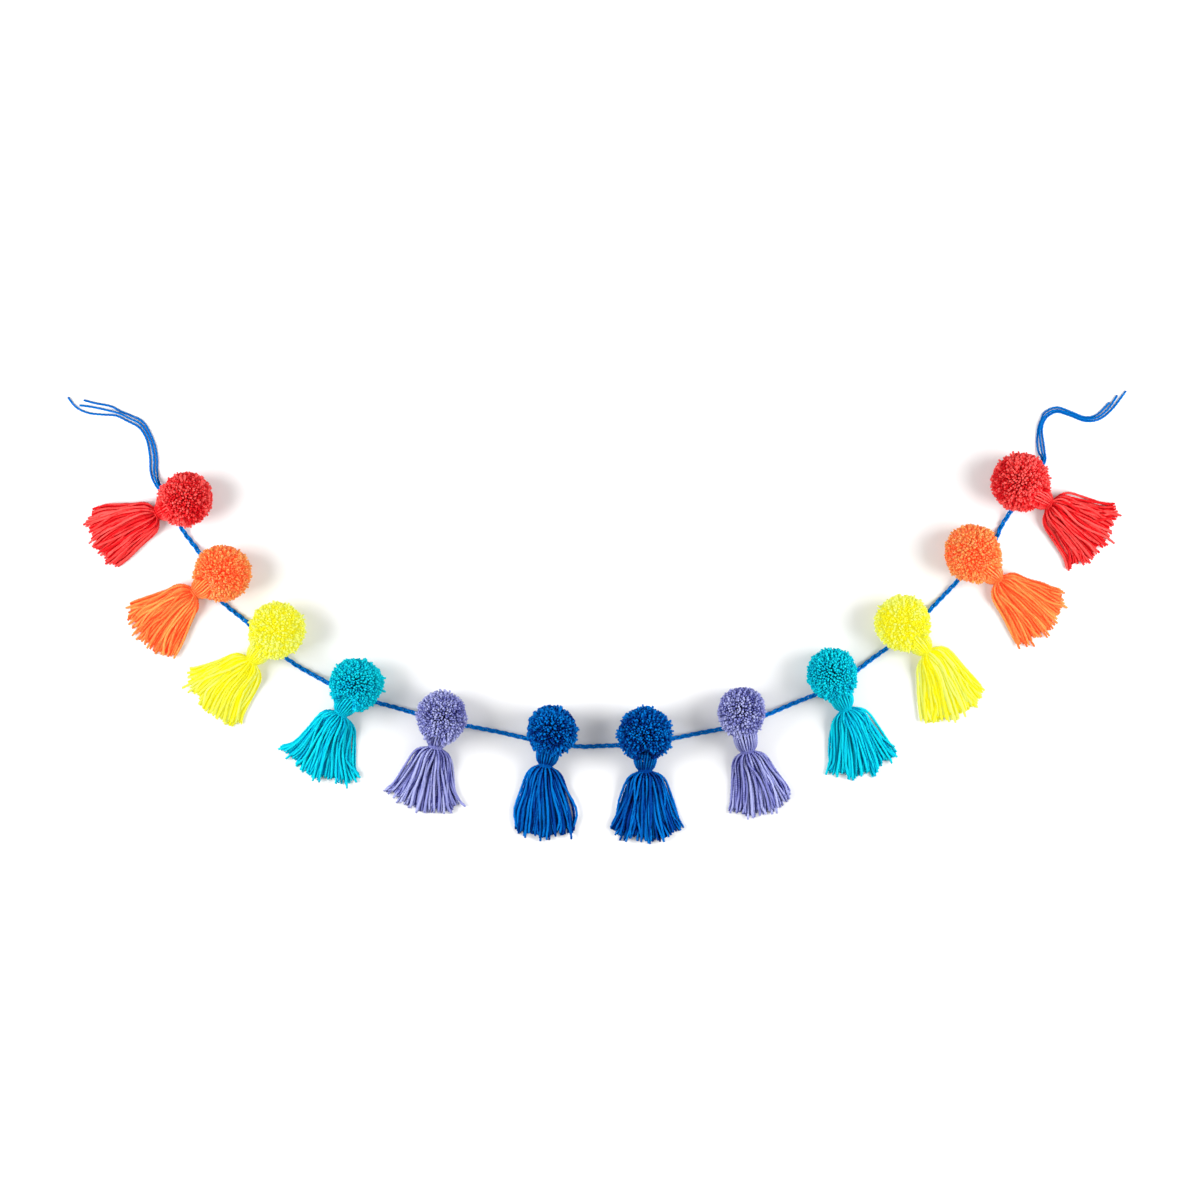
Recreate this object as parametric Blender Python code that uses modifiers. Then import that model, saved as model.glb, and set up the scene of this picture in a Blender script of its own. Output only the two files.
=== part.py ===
"""Pom pom tassel garland, laid out on a table in a shallow curve.

Twelve pompoms of cut yarn sit on a plaited cord, and a tassel of the same yarn hangs beside each of them. The
cord's three yarns are left loose at both ends, for tying. X runs along the garland, Y points away from the
tassels and Z is up, with the table at Z = 0. Tables are in millimetres and degrees, and the solids in metres.
"""

import math
import random
from collections import namedtuple

import bmesh
import bpy
from mathutils import Matrix, Vector

MM = 0.001

# The middle of the pompoms' and tassels' outline in the tables' millimetres, which is the garland's origin
OUTLINE_CENTRE = (0.2, 0.0)

COLOURS = {
    "red": (0.87, 0.055, 0.08),
    "orange": (0.96, 0.16, 0.02),
    "yellow": (0.87, 0.95, 0.01),
    "turquoise": (0.003, 0.51, 0.63),
    "lavender": (0.24, 0.21, 0.60),
    "blue": (0.002, 0.107, 0.51),
}
YARN_ROUGHNESS = 0.9

# One row for each pompom with its tassel. head is from the neck to the hidden top of the tassel, and skirt is
# from the neck to the cut ends, which fan from one heading to the other, in degrees from X.
Unit = namedtuple(
    "Unit", "name colour pom_x pom_y pom_radius neck_x neck_y head skirt fan_from fan_to"
)
UNITS = [
    Unit("red_left", "red", -374.4, 133.9, 24.6, -400.3, 121.4, 21.0, 64, 174, 235),
    Unit("orange_left", "orange", -341.8, 67.2, 25.8, -366.4, 50.0, 21.0, 65, 188, 254),
    Unit("yellow_left", "yellow", -292.5, 16.2, 25.5, -315.1, -10.9, 26.5, 62, 184, 263),
    Unit("turquoise_left", "turquoise", -221.8, -33.0, 24.4, -235.3, -58.5, 25.0, 63, 205, 290),
    Unit("lavender_left", "lavender", -144.3, -61.6, 23.3, -150.2, -88.6, 29.0, 60, 216, 296),
    Unit("blue_left", "blue", -45.1, -74.2, 23.0, -51.2, -104.9, 26.0, 65, 238, 300),
    Unit("blue_right", "blue", 38.3, -77.3, 25.0, 38.6, -109.7, 30.0, 64, 234, 308),
    Unit("lavender_right", "lavender", 125.0, -56.6, 22.2, 130.7, -92.6, 31.0, 58, 250, 320),
    Unit("turquoise_right", "turquoise", 206.4, -22.7, 23.3, 218.9, -54.5, 29.0, 62, 251, 323),
    Unit("yellow_right", "yellow", 269.9, 22.8, 25.0, 291.6, -3.0, 31.0, 66, 264, 330),
    Unit("orange_right", "orange", 332.4, 85.6, 25.6, 356.0, 61.7, 30.0, 64, 283, 353),
    Unit("red_right", "red", 375.5, 149.2, 26.8, 401.5, 130.0, 29.0, 63, 284, 364),
]

# Pompoms: a ball of tufts that is flat where it stands
POM_CORNERS = 52  # hollows between the tufts, of which there are about twice as many
POM_HOLLOW = 0.9  # distance of a hollow from the centre, in radii
POM_CENTRE = 0.94  # height of the centre, in radii
POM_FLAT = 0.86  # how straight down a point has to lie to be on the flat spot
POM_JITTER = 0.035
GOLDEN_TURN = math.pi * (3 - math.sqrt(5))

# Tassels: along their level axis, from the middle of the neck
AXIS_HEIGHT = 11 * MM
HEAD_CROWN = (1.5 * MM, 4.8 * MM)  # distance below the top, radius
HEAD_LOOPS = (-15 * MM, 7.6 * MM)  # place along the axis, radius
HEAD_BULB = (-8 * MM, 9.3 * MM)
HEAD_GROOVE = 0.93  # every other ridge of yarn, of the radius
NECK = (2.8 * MM, 5.4 * MM)
FLARE = (5.2 * MM, 6.2 * MM)
SOCKET_GAP = 0.5 * MM  # round the head, in its pompom

# The skirt's locks start round the neck. The lower ones lie on the table, and the upper ones on those.
LOCK_COUNT = 16
LOCK_ANGLE = 360 / LOCK_COUNT
LOWEST_TO_LAST = 90  # degrees round the neck, from straight down
EDGE_MARGIN = 3  # degrees between the fan's edge and the middle of its last lock
CUT_JITTER = 0.04
# Places are from the neck. bend and turn are how much of the whole bend and turn is done at that section.
LockSection = namedtuple(
    "LockSection", "bend turn x_middle x_edge y_edge z_middle z_edge width height"
)
LOWER_LOCK = [
    LockSection(0.3, 0.5, 9.0, 6.0, 13.0, 2.4, 8.0, 2.9, 3.2),
    LockSection(0.8, 1.0, 23.0, 20.0, 19.6, 2.0, 2.0, 4.1, 4.0),
]
UPPER_LOCK = [
    LockSection(0.3, 0.5, 8.0, 7.0, 14.5, 20.0, 13.5, 3.5, 3.4),
    LockSection(0.8, 1.0, 23.0, 21.0, 18.6, 10.5, 8.0, 4.0, 3.8),
]
USUAL_HALF_FAN = 35  # degrees, of the skirt that these widths belong to
FULLNESS = 0.4  # how far a skirt with a wider fan is also wider at these sections
# The reach is in lengths of the skirt, and the width is a share of the distance between two locks.
CutEnd = namedtuple("CutEnd", "reach_middle reach_edge z width height")
LOWER_END = CutEnd(1.0, 0.96, 2.0, 0.87, 4.0)
UPPER_END = CutEnd(0.96, 0.92, 6.4, 0.82, 3.4)

# Neck ties: a few turns of yarn, whose section has two ridges
TIE_SIDES = 8
TIE_SECTION = [(6.2, 2.3), (8.0, 1.2), (7.2, 0.0), (8.0, -1.2), (6.2, -2.3)]  # radius, along

# Cords
CORD_DIAMETER = 3.6 * MM
TAIL_DIAMETER = 2.0 * MM
CORD_POINTS = 72
TAIL_POINTS = 16
TUBE_BEVEL = 2  # eight sides
BORE_GAP = 0.35 * MM
TAIL_BORE_RADIUS = 3.2 * MM
CURVE_STEPS = 12  # between two points of a route
EYE = 11.0  # height of the cord inside a unit
LOW = 1.9  # height of the cord on the table
FLAT = 1.1  # height of a loose yarn on the table

CORD_ROUTE = [
    (-393.9, 136.2, 10.2),
    (-388.6, 126.5, EYE),
    (-378.6, 107.0, 4.5),
    (-370.6, 95.8, LOW),
    (-363.6, 86.4, 4.5),
    (-354.0, 67.5, EYE),
    (-348.4, 48.6, 6.0),
    (-337.4, 36.9, 2.4),
    (-321.5, 24.2, 3.4),
    (-303.5, 6.6, EYE),
    (-284.6, -9.2, 4.0),
    (-267.8, -20.2, 2.4),
    (-225.2, -42.0, EYE),
    (-186.4, -53.7, LOW),
    (-144.5, -65.3, EYE),
    (-93.4, -75.8, LOW),
    (-48.0, -85.8, EYE),
    (-20.0, -88.8, 3.4),
    (-3.4, -88.4, 2.6),
    (38.4, -85.9, EYE),
    (85.7, -77.1, LOW),
    (127.9, -67.8, EYE),
    (171.0, -50.5, LOW),
    (210.8, -33.0, EYE),
    (243.6, -9.4, LOW),
    (275.0, 14.6, EYE),
    (307.3, 46.9, LOW),
    (337.5, 79.5, EYE),
    (353.6, 96.8, 4.0),
    (360.4, 111.3, 2.3),
    (380.6, 142.6, EYE),
    (386.2, 151.4, 10.8),
]

TAIL_ROUTES = {
    "tail_left_1": [
        (-395.4, 136.2, 9.2),
        (-399.8, 142.9, 6.0),
        (-404.6, 150.6, 2.4),
        (-407.3, 160.0, FLAT),
        (-407.7, 172.0, FLAT),
        (-410.6, 187.3, FLAT),
        (-417.3, 198.4, FLAT),
        (-428.8, 204.8, FLAT),
        (-438.6, 209.4, FLAT),
        (-451.4, 210.3, FLAT),
        (-463.8, 211.9, FLAT),
        (-474.3, 217.0, FLAT),
        (-481.7, 226.0, FLAT),
    ],
    "tail_left_2": [
        (-394.4, 137.1, 11.4),
        (-398.5, 143.7, 8.3),
        (-402.4, 151.6, 4.6),
        (-404.1, 161.0, 1.8),
        (-404.2, 172.0, FLAT),
        (-407.4, 186.7, FLAT),
        (-415.2, 200.6, 1.6),
        (-426.8, 207.2, 3.0),
        (-436.4, 211.6, 3.3),
        (-447.6, 214.5, 1.6),
        (-459.6, 217.1, FLAT),
        (-471.4, 218.7, FLAT),
    ],
    "tail_left_3": [
        (-393.2, 137.6, 9.2),
        (-397.2, 144.5, 6.0),
        (-400.4, 152.0, 2.4),
        (-401.4, 161.0, FLAT),
        (-401.5, 172.0, FLAT),
        (-404.4, 185.8, FLAT),
        (-413.2, 202.8, FLAT),
        (-424.8, 209.4, FLAT),
        (-434.2, 213.2, FLAT),
        (-443.1, 217.8, FLAT),
        (-456.8, 220.5, FLAT),
        (-467.6, 223.3, FLAT),
    ],
    "tail_right_1": [
        (385.4, 152.7, 10.0),
        (395.6, 168.7, 5.5),
        (392.9, 177.0, 1.9),
        (391.7, 186.1, FLAT),
        (392.2, 193.0, FLAT),
        (393.2, 199.6, FLAT),
        (395.6, 205.9, FLAT),
        (398.9, 212.5, FLAT),
        (409.4, 216.8, FLAT),
        (421.9, 212.8, FLAT),
        (435.2, 207.9, FLAT),
        (446.0, 210.4, FLAT),
        (457.1, 221.3, FLAT),
    ],
    "tail_right_2": [
        (386.7, 152.2, 12.3),
        (397.0, 168.0, 7.8),
        (395.8, 177.4, 3.9),
        (394.6, 186.1, 2.4),
        (393.9, 193.2, 3.1),
        (394.7, 199.4, 3.4),
        (396.8, 205.4, 3.4),
        (400.6, 210.9, 3.4),
        (409.6, 214.4, 3.4),
        (421.3, 210.9, 3.4),
        (435.1, 206.2, 3.2),
        (447.1, 208.4, 3.2),
        (457.1, 217.2, 2.2),
        (464.0, 227.8, FLAT),
    ],
    "tail_right_3": [
        (387.7, 151.3, 10.0),
        (398.4, 167.0, 5.5),
        (398.5, 176.9, 1.9),
        (397.4, 186.1, FLAT),
        (396.3, 193.0, FLAT),
        (396.4, 198.9, FLAT),
        (398.2, 204.6, FLAT),
        (402.2, 209.5, FLAT),
        (410.0, 212.7, FLAT),
        (420.8, 209.7, FLAT),
        (435.6, 204.4, FLAT),
        (448.4, 206.4, FLAT),
        (460.0, 215.9, FLAT),
        (471.9, 231.6, FLAT),
    ],
}


def at(x, y, z=0.0):
    """A place in the tables' millimetres, in the garland's frame."""
    return Vector((x - OUTLINE_CENTRE[0], y - OUTLINE_CENTRE[1], z)) * MM


def mix(first, second, share):
    return first + (second - first) * share


def heading_of(unit):
    """The direction from a pompom to its tassel's neck, in degrees from X."""
    return math.degrees(math.atan2(unit.neck_y - unit.pom_y, unit.neck_x - unit.pom_x)) % 360


def new_collection(name):
    collection = bpy.data.collections.new(name)
    bpy.context.scene.collection.children.link(collection)
    return collection


def yarn_material(name, colour):
    material = bpy.data.materials.new(name)
    material.use_nodes = True
    shader = material.node_tree.nodes["Principled BSDF"]
    shader.inputs["Base Color"].default_value = (*COLOURS[colour], 1)
    shader.inputs["Roughness"].default_value = YARN_ROUGHNESS
    shader.inputs["Metallic"].default_value = 0
    material.diffuse_color = (*COLOURS[colour], 1)
    return material


def object_from(bm, name, collection):
    mesh = bpy.data.meshes.new(name)
    bm.to_mesh(mesh)
    bm.free()
    thing = bpy.data.objects.new(name, mesh)
    collection.objects.link(thing)
    return thing


def as_cutter(thing):
    thing.hide_render = True
    thing.display_type = "WIRE"
    return thing


def cut(thing, cutter):
    modifier = thing.modifiers.new(cutter.name, "BOOLEAN")
    modifier.operation = "DIFFERENCE"
    modifier.solver = "EXACT"
    modifier.object = cutter


# Routes


def smooth(route):
    """Places along the Catmull-Rom curve through a route's points."""
    knots = [at(*point) for point in route]
    knots = [2 * knots[0] - knots[1], *knots, 2 * knots[-1] - knots[-2]]
    places = []
    for a, b, c, d in zip(knots, knots[1:], knots[2:], knots[3:]):
        for step in range(CURVE_STEPS):
            t = step / CURVE_STEPS
            places.append(
                b
                + (c - a) * (t / 2)
                + (2 * a - 5 * b + 4 * c - d) * (t * t / 2)
                + (3 * b - a - 3 * c + d) * (t**3 / 2)
            )
    return [*places, knots[-2]]


def evenly(places, count):
    """As many places at equal distances along the same line."""
    reached = [0.0]
    for before, after in zip(places, places[1:]):
        reached.append(reached[-1] + (after - before).length)
    picked, leg = [], 0
    for i in range(count):
        wanted = reached[-1] * i / (count - 1)
        while leg < len(places) - 2 and reached[leg + 1] < wanted:
            leg += 1
        share = (wanted - reached[leg]) / (reached[leg + 1] - reached[leg])
        picked.append(places[leg].lerp(places[leg + 1], share))
    return picked


def tube(name, places, radius, collection):
    """A round cord as a curve with closed ends."""
    curve = bpy.data.curves.new(name, "CURVE")
    curve.dimensions = "3D"
    curve.bevel_depth = radius
    curve.bevel_resolution = TUBE_BEVEL
    curve.use_fill_caps = True
    spline = curve.splines.new("POLY")
    spline.points.add(len(places) - 1)
    for point, place in zip(spline.points, places):
        point.co = (*place, 1)
    thing = bpy.data.objects.new(name, curve)
    collection.objects.link(thing)
    return thing


def tube_cutter(name, places, radius, collection):
    """The same as a welded mesh, which can cut a bore."""
    curve = tube(f"{name}_curve", places, radius, collection)
    bpy.context.view_layer.update()
    evaluated = curve.evaluated_get(bpy.context.evaluated_depsgraph_get())
    mesh = bpy.data.meshes.new_from_object(evaluated)
    cutter = bpy.data.objects.new(name, mesh)
    cutter.matrix_world = curve.matrix_world
    collection.objects.link(cutter)
    bpy.data.objects.remove(curve)
    bm = bmesh.new()
    bm.from_mesh(mesh)
    bmesh.ops.remove_doubles(bm, verts=bm.verts, dist=0.01 * MM)
    bmesh.ops.recalc_face_normals(bm, faces=bm.faces)
    bm.to_mesh(mesh)
    bm.free()
    return as_cutter(cutter)


def tail_bundle(side):
    """The middle of the three loose yarns where they leave the plait, from just inside its end."""
    tails = [route for name, route in TAIL_ROUTES.items() if side in name]
    plait_end = CORD_ROUTE[0] if side == "left" else CORD_ROUTE[-1]
    middles = [sum((at(*row) for row in rows), Vector()) / 3 for rows in list(zip(*tails))[:3]]
    start = at(*plait_end)
    back = (start - middles[1]).normalized() * MM
    return [start + back, *middles]


# Pompoms


def ball_corners(count, phase):
    """Points spread evenly over a ball of radius 1, along a spiral from one side to the other."""
    for i in range(count):
        x = 1 - (2 * i + 1) / count
        turn = GOLDEN_TURN * i + phase
        ring = math.sqrt(1 - x * x)
        yield Vector((x, ring * math.cos(turn), ring * math.sin(turn)))


def add_pompom(unit, number, collection):
    """A ball whose surface rises to a tuft between every three hollows."""
    dice = random.Random(number)
    radius = unit.pom_radius * MM
    bm = bmesh.new()
    hollows = {bm.verts.new(corner) for corner in ball_corners(POM_CORNERS, number)}
    bmesh.ops.convex_hull(bm, input=list(hollows))
    bmesh.ops.poke(bm, faces=bm.faces[:])
    for vert in bm.verts:
        way = vert.co.normalized()
        share = POM_HOLLOW if vert in hollows else 1.0
        vert.co = way * radius * share * (1 + dice.uniform(-POM_JITTER, POM_JITTER))
        if way.z < -POM_FLAT:
            vert.co = way * radius * POM_CENTRE / -way.z
        else:
            vert.co.z = max(vert.co.z, -radius * POM_CENTRE + 0.2 * MM)
    bmesh.ops.recalc_face_normals(bm, faces=bm.faces)
    pompom = object_from(bm, f"pompom_{unit.name}", collection)
    pompom.location = at(unit.pom_x, unit.pom_y) + Vector((0, 0, radius * POM_CENTRE))
    return pompom


# Tassels


def around(along, radius, degrees):
    """A point at an angle round the tassel's axis, from straight down towards its left side."""
    angle = math.radians(degrees)
    return Vector((along, radius * math.sin(angle), -radius * math.cos(angle)))


def turned(bm, stations):
    """Turns (along, radius) stations into a surface round X, with a facet straight down."""
    verts = [bm.verts.new(around(along, radius, -LOCK_ANGLE / 2)) for along, radius in stations]
    edges = [bm.edges.new(pair) for pair in zip(verts, verts[1:])]
    bmesh.ops.spin(
        bm,
        geom=verts + edges,
        cent=(0, 0, 0),
        axis=(1, 0, 0),
        angle=2 * math.pi,
        steps=LOCK_COUNT,
        use_merge=True,
    )
    bmesh.ops.remove_doubles(bm, verts=bm.verts, dist=0.01 * MM)
    rim = [edge for edge in bm.edges if edge.is_boundary]
    bmesh.ops.holes_fill(bm, edges=rim, sides=LOCK_COUNT)
    bmesh.ops.recalc_face_normals(bm, faces=bm.faces)


def head_stations(unit, gap=0.0):
    """The head from its hidden top to the neck, or the room for it with a gap all round."""
    top = -unit.head * MM
    stations = [
        (top + HEAD_CROWN[0], HEAD_CROWN[1] + gap),
        (HEAD_LOOPS[0], HEAD_LOOPS[1] + gap),
        (HEAD_BULB[0], HEAD_BULB[1] + gap),
        (-NECK[0], NECK[1] + gap),
    ]
    return [(top - gap, 0.0), (stations[0][0] - gap, stations[0][1]), *stations[1:]]


def groove_head(bm):
    """Draws in every other line of points, so that the head shows its folded yarns."""
    for vert in bm.verts:
        if vert.co.x < -NECK[0] - 0.1 * MM:
            angle = math.degrees(math.atan2(vert.co.y, -vert.co.z)) + LOCK_ANGLE / 2
            if round(angle / LOCK_ANGLE) % 2:
                vert.co.y *= HEAD_GROOVE
                vert.co.z *= HEAD_GROOVE


def lock_layer(angle):
    """Sections and cut end of the lock at an angle round the neck, its place from -1 to 1, its last turn."""
    if angle < LOWEST_TO_LAST + 1:
        return LOWER_LOCK, LOWER_END, angle / LOWEST_TO_LAST, 0
    return UPPER_LOCK, UPPER_END, (180 - angle) / LOWEST_TO_LAST, 180


def half_fan(unit):
    """From the middle of the skirt to the middle of its last lock, in degrees."""
    return (unit.fan_to - unit.fan_from) / 2 - EDGE_MARGIN


def fullness(unit):
    """How wide the skirt is near its neck, as a share of the usual width."""
    return mix(1, (unit.fan_to - unit.fan_from) / 2 / USUAL_HALF_FAN, FULLNESS)


def lock_centres(unit, angle, dice):
    """The middles of a lock's root, sections and cut end, from the tassel's axis."""
    rows, end, side, _ = lock_layer(angle)
    edge = side * side
    bend = (unit.fan_from + unit.fan_to) / 2 - heading_of(unit)
    to_axis = Vector((0, 0, -AXIS_HEIGHT))
    centres = [around((NECK[0] + FLARE[0]) / 2, (NECK[1] + FLARE[1]) / 2, angle)]
    for row in rows:
        x = mix(row.x_middle, row.x_edge, edge)
        y = row.y_edge * side * fullness(unit)
        z = mix(row.z_middle, row.z_edge, edge)
        bent = Matrix.Rotation(math.radians(bend * row.bend), 3, "Z") @ Vector((x, y, z))
        centres.append(bent * MM + to_axis)
    reach = unit.skirt * mix(end.reach_middle, end.reach_edge, edge)
    reach *= dice.uniform(1 - CUT_JITTER, 1 + CUT_JITTER)
    way = math.radians(bend + half_fan(unit) * side)
    tip = Vector((reach * math.cos(way), reach * math.sin(way), end.z))
    return [*centres, tip * MM + to_axis]


def lock_rings(unit, angle, dice):
    """Centre, heading, turn, width and height of each section of a lock after its root."""
    rows, end, _, last_turn = lock_layer(angle)
    centres = lock_centres(unit, angle, dice)
    pitch = unit.skirt * math.radians(half_fan(unit)) * LOCK_ANGLE / LOWEST_TO_LAST
    shapes = [(row.turn, row.width, row.height) for row in rows]
    shapes.append((1.0, end.width * pitch, end.height))
    for i, (turn, width, height) in enumerate(shapes, start=1):
        ahead = centres[min(i + 1, len(shapes))] - centres[i - 1]
        heading = math.atan2(ahead.y, ahead.x)
        yield centres[i], heading, math.radians(mix(angle, last_turn, turn)), width * MM, height * MM


def grow_lock(bm, facet, unit, dice):
    """Draws a lock of yarn out of its facet at the neck, section by section."""
    middle = facet.calc_center_median()
    angle = math.degrees(math.atan2(middle.y, -middle.z))
    if angle < -LOWEST_TO_LAST - 1:
        angle += 360
    across = around(0, 1, angle + 90)
    corners = [
        (math.copysign(1, middle.x - vert.co.x), math.copysign(1, (vert.co - middle).dot(across)))
        for vert in facet.verts
    ]
    for centre, heading, turn, width, height in lock_rings(unit, angle, dice):
        facet = bmesh.ops.extrude_discrete_faces(bm, faces=[facet])["faces"][0]
        left = Vector((-math.sin(heading), math.cos(heading), 0))
        up = Vector((0, 0, 1))
        outward = left * math.sin(turn) - up * math.cos(turn)
        across = left * math.cos(turn) + up * math.sin(turn)
        for vert, (out, over) in zip(facet.verts, corners):
            vert.co = centre + outward * (out * height / 2) + across * (over * width / 2)


def add_tassel(unit, number, collection):
    """Head, neck and skirt in one, with the locks fused only where they leave the neck."""
    dice = random.Random(100 + number)
    bm = bmesh.new()
    turned(bm, [*head_stations(unit), NECK, FLARE])
    groove_head(bm)
    facets = [face for face in bm.faces if NECK[0] < face.calc_center_median().x < FLARE[0] - 0.1 * MM]
    for facet in facets:
        grow_lock(bm, facet, unit, dice)
    bmesh.ops.recalc_face_normals(bm, faces=bm.faces)
    tassel = object_from(bm, f"tassel_{unit.name}", collection)
    place_on_axis(tassel, unit)
    return tassel


def place_on_axis(thing, unit):
    thing.location = at(unit.neck_x, unit.neck_y) + Vector((0, 0, AXIS_HEIGHT))
    thing.rotation_euler = (0, 0, math.radians(heading_of(unit)))


def add_socket(unit, collection):
    """The room that a tassel's head takes in its pompom."""
    bm = bmesh.new()
    turned(bm, head_stations(unit, SOCKET_GAP))
    socket = as_cutter(object_from(bm, f"socket_{unit.name}", collection))
    place_on_axis(socket, unit)
    return socket


def add_tie(unit, collection):
    """A ring of wound yarn that draws in the neck."""
    mesh = bpy.data.meshes.new(f"tie_{unit.name}")
    verts = [(radius * MM, 0, along * MM) for radius, along in TIE_SECTION]
    count = len(verts)
    mesh.from_pydata(verts, [(i, (i + 1) % count) for i in range(count)], [])
    tie = bpy.data.objects.new(f"tie_{unit.name}", mesh)
    collection.objects.link(tie)
    screw = tie.modifiers.new("wound", "SCREW")
    screw.steps = TIE_SIDES
    screw.render_steps = TIE_SIDES
    screw.use_merge_vertices = True
    screw.merge_threshold = 0.00001
    place_on_axis(tie, unit)
    tie.rotation_euler.y = math.pi / 2
    return tie


# The whole garland


def build():
    for old in list(bpy.data.objects):
        bpy.data.objects.remove(old)
    garland = new_collection("pom_pom_tassel_garland")
    cutters = new_collection("cutters")
    materials = {colour: yarn_material(f"{colour}_yarn", colour) for colour in COLOURS}
    origin = bpy.data.objects.new("garland_origin", None)
    garland.objects.link(origin)

    cord_line = evenly(smooth(CORD_ROUTE), CORD_POINTS)
    cord_bore = tube_cutter("cord_bore", cord_line, CORD_DIAMETER / 2 + BORE_GAP, cutters)
    tail_bores = {
        side: tube_cutter(f"tail_bore_{side}", tail_bundle(side), TAIL_BORE_RADIUS, cutters)
        for side in ("left", "right")
    }
    pieces = []
    for number, unit in enumerate(UNITS):
        pompom = add_pompom(unit, number, garland)
        tassel = add_tassel(unit, number, garland)
        tie = add_tie(unit, garland)
        cut(pompom, add_socket(unit, cutters))
        cut(pompom, cord_bore)
        cut(tassel, cord_bore)
        for side, bore in tail_bores.items():
            if unit.name == f"red_{side}":
                cut(pompom, bore)
        pieces += [(pompom, unit.colour), (tassel, unit.colour), (tie, unit.colour)]
    pieces.append((tube("cord_plait", cord_line, CORD_DIAMETER / 2, garland), "blue"))
    for name, route in TAIL_ROUTES.items():
        line = evenly(smooth(route), TAIL_POINTS)
        pieces.append((tube(name, line, TAIL_DIAMETER / 2, garland), "blue"))
    for piece, colour in pieces:
        piece.data.materials.append(materials[colour])
        piece.parent = origin


build()
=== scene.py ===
"""Pom pom tassel garland: its yarn, the table that it lies on, the light and the camera.

Every pompom is made of cut yarn ends round a core, and every tassel of folded yarns that leave a
wound neck as a fanned skirt. The cord is a plait of three yarns, which come apart at both ends. Tables
are in millimetres and degrees, in the plan of the CAD source, and meshes are in metres.
"""

import math
from collections import namedtuple

import bpy
import numpy as np
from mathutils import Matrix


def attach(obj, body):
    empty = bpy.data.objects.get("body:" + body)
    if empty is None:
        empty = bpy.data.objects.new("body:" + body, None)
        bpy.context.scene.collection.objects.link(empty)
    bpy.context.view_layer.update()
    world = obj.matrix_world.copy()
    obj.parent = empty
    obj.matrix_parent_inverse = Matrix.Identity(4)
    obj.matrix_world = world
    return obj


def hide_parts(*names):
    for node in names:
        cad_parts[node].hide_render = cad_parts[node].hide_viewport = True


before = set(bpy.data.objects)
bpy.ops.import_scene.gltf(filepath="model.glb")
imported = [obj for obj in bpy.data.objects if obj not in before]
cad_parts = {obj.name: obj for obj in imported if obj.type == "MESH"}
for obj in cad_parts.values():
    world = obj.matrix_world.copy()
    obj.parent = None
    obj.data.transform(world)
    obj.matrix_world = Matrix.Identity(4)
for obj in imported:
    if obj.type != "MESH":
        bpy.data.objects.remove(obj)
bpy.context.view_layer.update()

MM = 0.001
OUTLINE_CENTRE = (0.2, 0.0)  # the garland's origin in the tables' plan
PHOTO_MIDDLE = (-2.16, 43.2)  # the place in that plan under the camera

# Light
ROOM_LIGHT = 0.39
Lamp = namedtuple("Lamp", "name place watts size")
LAMPS = [
    Lamp("lamp_left", (-1.2, 0, 0.8), 24, 0.9),
    Lamp("lamp_right", (1.2, 0, 0.8), 24, 0.9),
    Lamp("lamp_above", (0, 0, 3), 10, 0.8),
]

# Linear colours: a painted shade in a crevice, the strands' own, and a painted highlight where they catch
# the light. Then how much light comes through, and a painted glow in those colours over the whole yarn,
# which stands in for the light that neon yarn gives back in the shade
Yarn = namedtuple("Yarn", "deep body lit through glow")
YARNS = {
    "red": Yarn((0.47, 0.0005, 0.004), (0.60, 0.011, 0.014), (0.78, 0.080, 0.072), 0.4, 0.14),
    "orange": Yarn((0.95, 0.055, 0.015), (0.68, 0.118, 0.030), (0.63, 0.230, 0.060), 0.6, 0.32),
    "yellow": Yarn((0.48, 0.43, 0.001), (0.40, 0.39, 0.010), (0.40, 0.43, 0.075), 0.6, 1.0),
    "turquoise": Yarn((0.0005, 0.19, 0.44), (0.001, 0.42, 0.58), (0.003, 0.55, 0.65), 0.3, 0),
    "lavender": Yarn((0.016, 0.016, 0.17), (0.165, 0.175, 0.46), (0.36, 0.38, 0.66), 0.15, 0),
    "blue": Yarn((0.0002, 0.0002, 0.015), (0.0006, 0.031, 0.23), (0.001, 0.155, 0.53), 0.1, 0),
}

# Noise in the yarn's colour, and in its surface for the fibres
MOTTLE_SCALE, MOTTLE_DEPTH = 650, 0.3
FIBRE_SCALE, FIBRE_HEIGHT = 1800, 0.0004

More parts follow.
